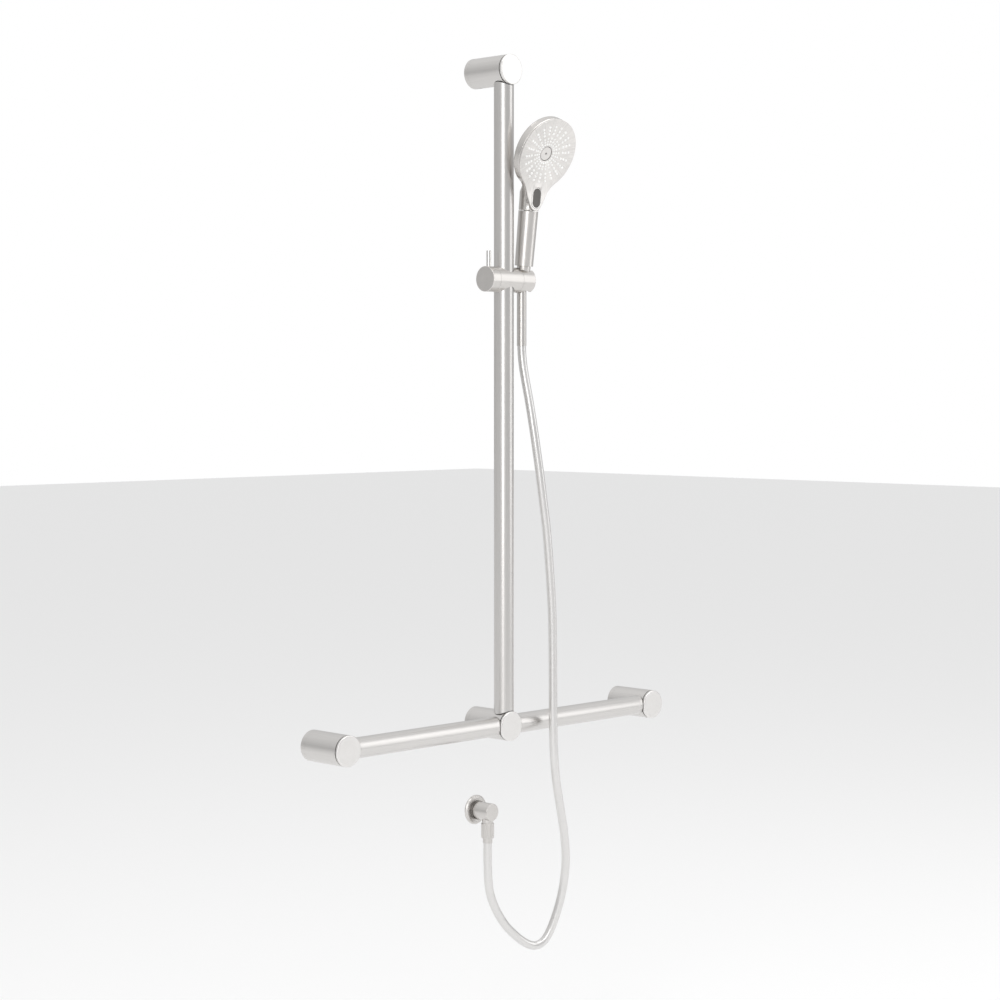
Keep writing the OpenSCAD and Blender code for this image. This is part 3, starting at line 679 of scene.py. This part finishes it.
class SHOWER_OT_head(bpy.types.Operator):
    """The head's back, with rim, dome and neck blended into one skin, and the dished teardrop face"""
    bl_idname = "shower.head"
    bl_label = "Head"

    def execute(self, context):
        settings, metal = context.scene.shower_head, context.scene.shower_metal
        radius, rim = settings.radius, settings.rim
        dome = turned("dome", [(0, -0.0031), (radius - 0.0006, -0.0031), (radius, -0.0037),
                               (radius, -rim + 0.001),
                               (radius - 0.0008, -rim - 0.001), (radius - 0.004, -rim - 0.0032),
                               (radius * 0.85, -rim - 0.0057), (radius * 0.66, -rim - 0.0085),
                               (radius * 0.36, -rim - 0.0112), (0, -rim - 0.012)], 96)
        place(dome, FACE)
        neck = ring_chain("neck", [(HANDLE @ Vector((0, y, z)), r, LEAN + a) for y, z, r, a in [
            (0, 0.1323, 0.016, 0), (0, 0.142, 0.016, 0), (0, 0.154, 0.0161, 0.04),
            (0.0002, 0.1645, 0.0165, 0.2),
            (-0.0016, 0.1765, 0.0166, 0.66), (-0.0048, 0.189, 0.0152, 1.2), (-0.0068, 0.2045, 0.0175, 1.6),
            (-0.0088, 0.2185, 0.0238, 1.86)]])
        shell = joined("head_back", [dome, neck, self.tail("tail_body", radius, -0.0008, -0.0031, -0.0121)])
        apply(shell, "REMESH", mode="VOXEL", voxel_size=settings.voxel)
        apply(shell, "SMOOTH", factor=0.5, iterations=8)
        edit(shell)
        bpy.ops.mesh.select_all(action="SELECT")
        bpy.ops.mesh.bisect(plane_co=HANDLE @ Vector((0, 0, 0.1326)), plane_no=HANDLE.to_3x3() @ WALL_UP,
                            use_fill=True, clear_inner=True)
        bpy.ops.object.mode_set(mode="OBJECT")
        hollow = [(0, -0.0095), (0.052, -0.0095), (0.0545, 0.003), (0, 0.003)]
        recess = place(turned("recess", hollow, 96), FACE)
        # Painted shadow: a thin near-black ring just inside the face plate's edge, standing in for the shadow in the
        # gap between the plate and the shell.
        gap_shadow_ring = self.tail("face_gap_shadow_ring", radius, -0.0011, -0.0022, -0.0039)
        front = self.tail("front_cutter", radius, 0.004, 0.02, -0.0036)
        apply(shell, "BOOLEAN", operation="DIFFERENCE", object=front, solver="EXACT")
        for piece in (shell, gap_shadow_ring):
            apply(piece, "BOOLEAN", operation="DIFFERENCE", object=recess, solver="EXACT")
        seat = TONGUE @ Matrix.Translation((0, context.scene.shower_button.up, 0))
        pocket = place(pill_solid("pocket", 0.0214, 0.0344, -0.008, 0.004, 0.0005), seat)
        for piece in (shell, gap_shadow_ring):
            apply(piece, "BOOLEAN", operation="DIFFERENCE", object=pocket, solver="EXACT")
        for cutter in (front, recess, pocket):
            bpy.data.objects.remove(cutter)
        # The near-black colour of this ring is painted shadow for the gap round the face plate.
        finish(gap_shadow_ring, "handset", "black_rubber", moulded("gap_shadow_black", (0.03, 0.03, 0.03), roughness=(0.6, 0.7)),
               angle=40)
        satin = brushed_metal("satin_nickel_head", metal.nickel, (30, 30, 900), rotation=(-LEAN, 0, 0),
                              roughness=(0.2, 0.3), spread=0.03, lift=0.04)
        finish(shell, "handset", "satin_nickel", satin, "head_shell", angle=50)
        face = sunray_face("spray_face_metal", settings.face_colour)
        finish(self.face(radius), "handset", "satin_nickel", face, "face_plate", "spray_plate", angle=40)
        return {"FINISHED"}

    def rows(self):
        """Edges across the mesh being edited, close enough to follow the bend."""
        for step in range(-6, 7):
            bpy.ops.mesh.select_all(action="SELECT")
            bpy.ops.mesh.bisect(plane_co=(0, BEND + step * 0.0022, 0), plane_no=(0, 1, 0))
        bpy.ops.object.mode_set(mode="OBJECT")

    def tail(self, name, radius, grow, top, floor):
        """A bent solid of the teardrop's outline from top down to floor, shallower towards its tip."""
        begin()
        bpy.ops.mesh.primitive_circle_add(vertices=256, radius=radius, fill_type="NGON", location=(0, 0, top))
        body = place(named(name))
        for v in body.data.vertices:
            angle = math.atan2(v.co.y, v.co.x)
            reach = outline(angle, radius) + grow
            v.co = (reach * math.cos(angle), reach * math.sin(angle), v.co.z)
        edit(body)
        bpy.ops.mesh.select_all(action="SELECT")
        bpy.ops.mesh.extrude_region_move(TRANSFORM_OT_translate={"value": (0, 0, floor - top)})
        self.rows()
        if floor < -0.01:
            for v in body.data.vertices:
                if v.co.z < floor + 0.001:
                    v.co.z += 0.0075 * min(1, max(0, (-v.co.y - 0.045) / 0.045))
        recalculate(body)
        return bend_tail(body, FACE)

    def face(self, radius):
        """The teardrop plate: a disc stretched to the outline, dished, bent and given its thickness."""
        begin()
        bpy.ops.mesh.primitive_circle_add(vertices=256, radius=radius, fill_type="NGON")
        face = named("spray_face")
        edit(face)
        bpy.ops.mesh.select_all(action="SELECT")
        for share in (0.6, 0.8, 1.2, 2.4, 3, 3, 4, 4, 5, 5, 5, 5, 4, 4):
            bpy.ops.mesh.inset(thickness=share * 0.001)
        bpy.ops.mesh.delete(type="ONLY_FACE")
        bpy.ops.object.mode_set(mode="OBJECT")
        core = 0.050
        for v in face.data.vertices:
            distance, angle = math.hypot(v.co.x, v.co.y), math.atan2(v.co.y, v.co.x)
            reach = outline(angle, radius)
            if distance > core:
                distance = core + (distance - core) * (reach - core) / (radius - core)
            sink = dish(distance) if reach < radius * 1.001 or distance < 0.0538 else 0
            v.co = (distance * math.cos(angle), distance * math.sin(angle), -sink)
        edit(face)
        bpy.ops.mesh.select_all(action="SELECT")
        self.rows()
        recalculate(face)
        if face.data.polygons[0].normal.z < 0:
            edit(face)
            bpy.ops.mesh.select_all(action="SELECT")
            bpy.ops.mesh.flip_normals()
            bpy.ops.object.mode_set(mode="OBJECT")
        apply(face, "SOLIDIFY", thickness=0.0024, offset=-1)
        bend_tail(face, FACE)
        seat = TONGUE @ Matrix.Translation((0, bpy.context.scene.shower_button.up, 0))
        cutter = place(pill_solid("button_hole", 0.0212, 0.0342, -0.006, 0.004, 0.0005), seat)
        apply(face, "BOOLEAN", operation="DIFFERENCE", object=cutter, solver="EXACT")
        bpy.data.objects.remove(cutter)
        apply(face, "BEVEL", width=0.0005, segments=2, limit_method="ANGLE", angle_limit=math.radians(50))
        return face


class SHOWER_OT_nozzles(bpy.types.Operator):
    """The silicone nozzles that stand through the spray face"""
    bl_idname = "shower.nozzles"
    bl_label = "Nozzles"

    def execute(self, context):
        settings = context.scene.shower_head
        rubber = moulded("nozzle_silicone", settings.nub_colour, roughness=(0.35, 0.5), lift=0.03)
        nub = self.nub(settings.nub)
        copies = []
        for i in range(settings.rays):
            for ring in (0.034, 0.040, 0.046, 0.016, 0.021, 0.026):
                copy = nub.copy()
                copy.data = nub.data.copy()
                bpy.context.scene.collection.objects.link(copy)
                depth = -0.0008 - 0.005 * (1 - ring / 0.0538)
                size = 1.0 if ring > 0.03 else 0.8
                turn = Matrix.Rotation(2 * math.pi * (i + 0.5) / settings.rays, 4, "Z")
                place(copy, FACE @ turn @ Matrix.Translation((ring, 0, depth)) @ Matrix.Scale(size, 4))
                copies.append(copy)
        bpy.data.objects.remove(nub)
        finish(joined("nozzle_nubs", copies), "handset", "nozzle_rubber", rubber, "nozzle_mat", angle=50)
        return {"FINISHED"}

    def nub(self, radius):
        """A short tapered nub with a rounded lip and a blind hole."""
        r = radius
        return turned("nub", [(0, -0.001), (r, -0.001), (r, 0.0002), (0.94 * r, 0.0007), (0.76 * r, 0.0011),
                              (0.4 * r, 0.0012), (0.3 * r, 0.0009), (0, 0.0009)], 12)


def pill_solid(name, width, length, low, high, edge, crown=0.0):
    """An upright pill in its own plane, with rounded top edges and a slightly crowned face."""
    begin()
    bpy.ops.mesh.primitive_circle_add(vertices=48, radius=width / 2, fill_type="NGON", location=(0, 0, low))
    obj = place(named(name))
    for v in obj.data.vertices:
        v.co.y += math.copysign((length - width) / 2, v.co.y) if abs(v.co.y) > 1e-7 else 0
    edit(obj)
    bpy.ops.mesh.select_all(action="SELECT")
    bpy.ops.mesh.extrude_region_move(TRANSFORM_OT_translate={"value": (0, 0, high - edge - low)})
    for i in range(1, 5):
        a, b = math.pi / 8 * (i - 1), math.pi / 8 * i
        rise, inset = edge * (math.sin(b) - math.sin(a)), edge * (math.cos(a) - math.cos(b))
        bpy.ops.mesh.inset(thickness=inset, depth=rise)
    for share in (0.4, 0.4):
        bpy.ops.mesh.inset(thickness=width * share / 2 * 0.8, depth=crown)
    bpy.ops.object.mode_set(mode="OBJECT")
    recalculate(obj)
    return obj


class SHOWER_OT_button(bpy.types.Operator):
    """The spray button and its bright lip"""
    bl_idname = "shower.button"
    bl_label = "Button"

    def execute(self, context):
        settings, metal = context.scene.shower_button, context.scene.shower_metal
        seat = TONGUE @ Matrix.Translation((0, settings.up, 0))
        grey = moulded("button_plastic", settings.colour, roughness=(0.38, 0.5), grain=2600, lift=0.15)
        button = pill_solid("spray_button_cap", settings.width, settings.length,
                            -0.0026, 0.0012, 0.0009, -0.0003)
        finish(place(button, seat), "spray_button", "button_grey", grey, "button", angle=60)
        bright = moulded("bright_lip", metal.cap, roughness=(0.1, 0.16), lift=0.02, metallic=1.0)
        outer = pill_solid("button_lip", settings.width + 0.0036, settings.length + 0.0036,
                           -0.0026, 0.0008, 0.0009)
        inner = pill_solid("lip_cutter", settings.width + 0.0008, settings.length + 0.0008,
                           -0.004, 0.004, 0.0005)
        apply(outer, "BOOLEAN", operation="DIFFERENCE", object=inner, solver="EXACT")
        bpy.data.objects.remove(inner)
        finish(place(outer, seat), "handset", "satin_nickel", bright, "button_bezel", angle=40)
        return {"FINISHED"}


class SHOWER_OT_caps(bpy.types.Operator):
    """The four turned end caps with their bright rounded edges"""
    bl_idname = "shower.caps"
    bl_label = "End caps"

    def execute(self, context):
        metal = context.scene.shower_metal
        for post in POSTS:
            node = post + "_cap"
            low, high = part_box(node)
            centre, radius = (low + high) / 2, (high.x - low.x) / 2
            depth = high.y - low.y
            back = depth - 0.0045  # behind the disc, where the spigot starts
            profile = [(0, back), (radius * 0.8, back), (radius * 0.8, 0), (radius * 0.88, 0),
                       (radius * 0.88, back), (radius - 0.0004, back), (radius, depth - 0.0041)]
            front = [(radius - 0.0024, depth), (radius * 0.6, depth + 0.00004), (0, depth + 0.00004)]
            cap = turned(post + "_cap_turned", profile + rounded(radius, depth, 0.0016, 6) + front, 96)
            upright = Matrix.Rotation(math.pi / 2, 4, "X")
            place(cap, Matrix.Translation((centre.x, high.y, centre.z)) @ upright)
            steel = turned_metal(post + "_cap_steel", metal.cap, centre, (math.pi / 2, 0, 0))
            finish(cap, "wall_set", "cap_steel", steel, node, angle=50)
        return {"FINISHED"}


class SHOWER_OT_hose_nut(bpy.types.Operator):
    """The hose nut under the elbow, with its grip flutes"""
    bl_idname = "shower.hose_nut"
    bl_label = "Hose nut"

    def execute(self, context):
        metal = context.scene.shower_metal
        low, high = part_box("elbow_nut")
        radius, length = (high.x - low.x) / 2, high.z - low.z
        sides = metal.flutes * 4
        nut = turned("fluted_nut", [(0.0092, 0), (radius - 0.0008, 0), (radius - 0.0004, 0.0003), (radius, 0.0012),
                                    (radius, length - 0.0012), (radius - 0.0008, length), (0.0092, length),
                                    (0.0092, 0.0034), (0.0073, 0.0034), (0.0073, 0), (0.0092, 0)], sides)
        for v in nut.data.vertices:
            out = math.hypot(v.co.x, v.co.y)
            flute = round(math.atan2(v.co.y, v.co.x) / (2 * math.pi) * sides) % 4 == 0
            if flute and out > radius - 0.0001 and 0.001 < v.co.z < length - 0.001:
                v.co.x *= 1 - 0.0005 / radius
                v.co.y *= 1 - 0.0005 / radius
        place(nut, Matrix.Translation((ELBOW_OUTLET.x, ELBOW_OUTLET.y, low.z)))
        satin = brushed_metal("satin_nickel_nut", metal.nickel, (900, 900, 12), spread=0.05)
        finish(nut, "hose_nut", "satin_nickel", satin, "elbow_nut", angle=14)
        return {"FINISHED"}


class SHOWER_OT_finishes(bpy.types.Operator):
    """The finish of every part that keeps its own shape"""
    bl_idname = "shower.finishes"
    bl_label = "Finishes"

    def execute(self, context):
        metal, head = context.scene.shower_metal, context.scene.shower_head
        steel, nickel = metal.steel, metal.nickel
        up, along, out = (1100, 1100, 9), (9, 1100, 1100), (1100, 9, 1100)
        looks = [
            (brushed_metal("rail_steel_upright", steel, up), ["vertical_rail"]),
            (brushed_metal("rail_steel_level", steel, along), ["left_rail", "right_rail"]),
            (brushed_metal("post_steel", steel, out),
             [p + part for p in POSTS for part in ("_post", "_bracket")]),
            (brushed_metal("slider_nickel", nickel, along, spread=0.06),
             ["slider_block", "clamp_knob", "holder"]),
            (brushed_metal("pin_nickel", metal.cap, up, roughness=(0.14, 0.22)), ["lever_pin"]),
            (brushed_metal("handle_nickel", nickel, up, rotation=(-LEAN, 0, 0)),
             ["handle_shell", "cone_nut"]),
            (brushed_metal("sleeve_nickel", nickel, up), ["hose_sleeve", "bottom_ferrule"]),
            (brushed_metal("elbow_nickel", nickel, out), ["elbow_body"]),
            (turned_metal("rosette_nickel", nickel, middle("elbow_flange"), (math.pi / 2, 0, 0)),
             ["elbow_flange"]),
            (brushed_metal("hidden_steel_look", (0.5, 0.5, 0.5), (300, 300, 300)),
             ["rail_spigots", "spigot_screws", "grub_screws", "pivot_bolt", "clamp_screw", "valve_spring",
              "button_spring"]),
            (moulded("machined_brass", (0.62, 0.46, 0.2), (0.25, 0.35), 700, 0.05, 1.0),
             ["top_ferrule", "inlet_nipple"]),
            (moulded("acetal", (0.84, 0.84, 0.82)),
             ["rail_bush", "brake_pad", "friction_washer", "inner_tube", "water_distributor", "diverter_rotor",
              "valve_seat", "valve_poppet"]),
            (moulded("seal_rubber", (0.02, 0.02, 0.02), (0.6, 0.75)),
             ["filter_washer", "elbow_washer", "face_seal"]),
            (moulded("collar_shadow", (0.22, 0.21, 0.2), (0.2, 0.3), 900, 0.04, 1.0), ["elbow_collar"]),
            (moulded("hub_metal", head.face_colour, (0.3, 0.4), 900, 0.04, 0.9), ["centre_nozzle"]),
        ]
        for material, nodes in looks:
            for node in nodes:
                for slot in NODES[node].material_slots:
                    slot.material = material
        return {"FINISHED"}


class SHOWER_PT_panel(bpy.types.Panel):
    """Builds the shower set's pieces, one by one"""
    bl_label = "Shower set"
    bl_idname = "SHOWER_PT_panel"
    bl_space_type = "VIEW_3D"
    bl_region_type = "UI"
    bl_category = "Shower"

    def draw(self, context):
        for operator in OPERATORS:
            self.layout.operator(operator.bl_idname)
        for name in SETTINGS:
            box = self.layout.box()
            settings = getattr(context.scene, name)
            for key in settings.__annotations__:
                box.prop(settings, key)


SETTINGS = {"shower_stage": StageSettings, "shower_hose": HoseSettings, "shower_head": HeadSettings,
            "shower_button": ButtonSettings, "shower_metal": MetalSettings}
OPERATORS = (SHOWER_OT_stage, SHOWER_OT_hose, SHOWER_OT_head, SHOWER_OT_nozzles, SHOWER_OT_button,
             SHOWER_OT_caps, SHOWER_OT_hose_nut, SHOWER_OT_finishes)
CLASSES = (*SETTINGS.values(), *OPERATORS, SHOWER_PT_panel)


def register():
    for made in CLASSES:
        bpy.utils.register_class(made)
    for name, kind in SETTINGS.items():
        setattr(bpy.types.Scene, name, PointerProperty(type=kind))


def unregister():
    for name in SETTINGS:
        delattr(bpy.types.Scene, name)
    for made in reversed(CLASSES):
        bpy.utils.unregister_class(made)


def main():
    register()
    for operator in OPERATORS:
        group_name, action = operator.bl_idname.split(".")
        getattr(getattr(bpy.ops, group_name), action)()


if __name__ == "__main__":
    main()
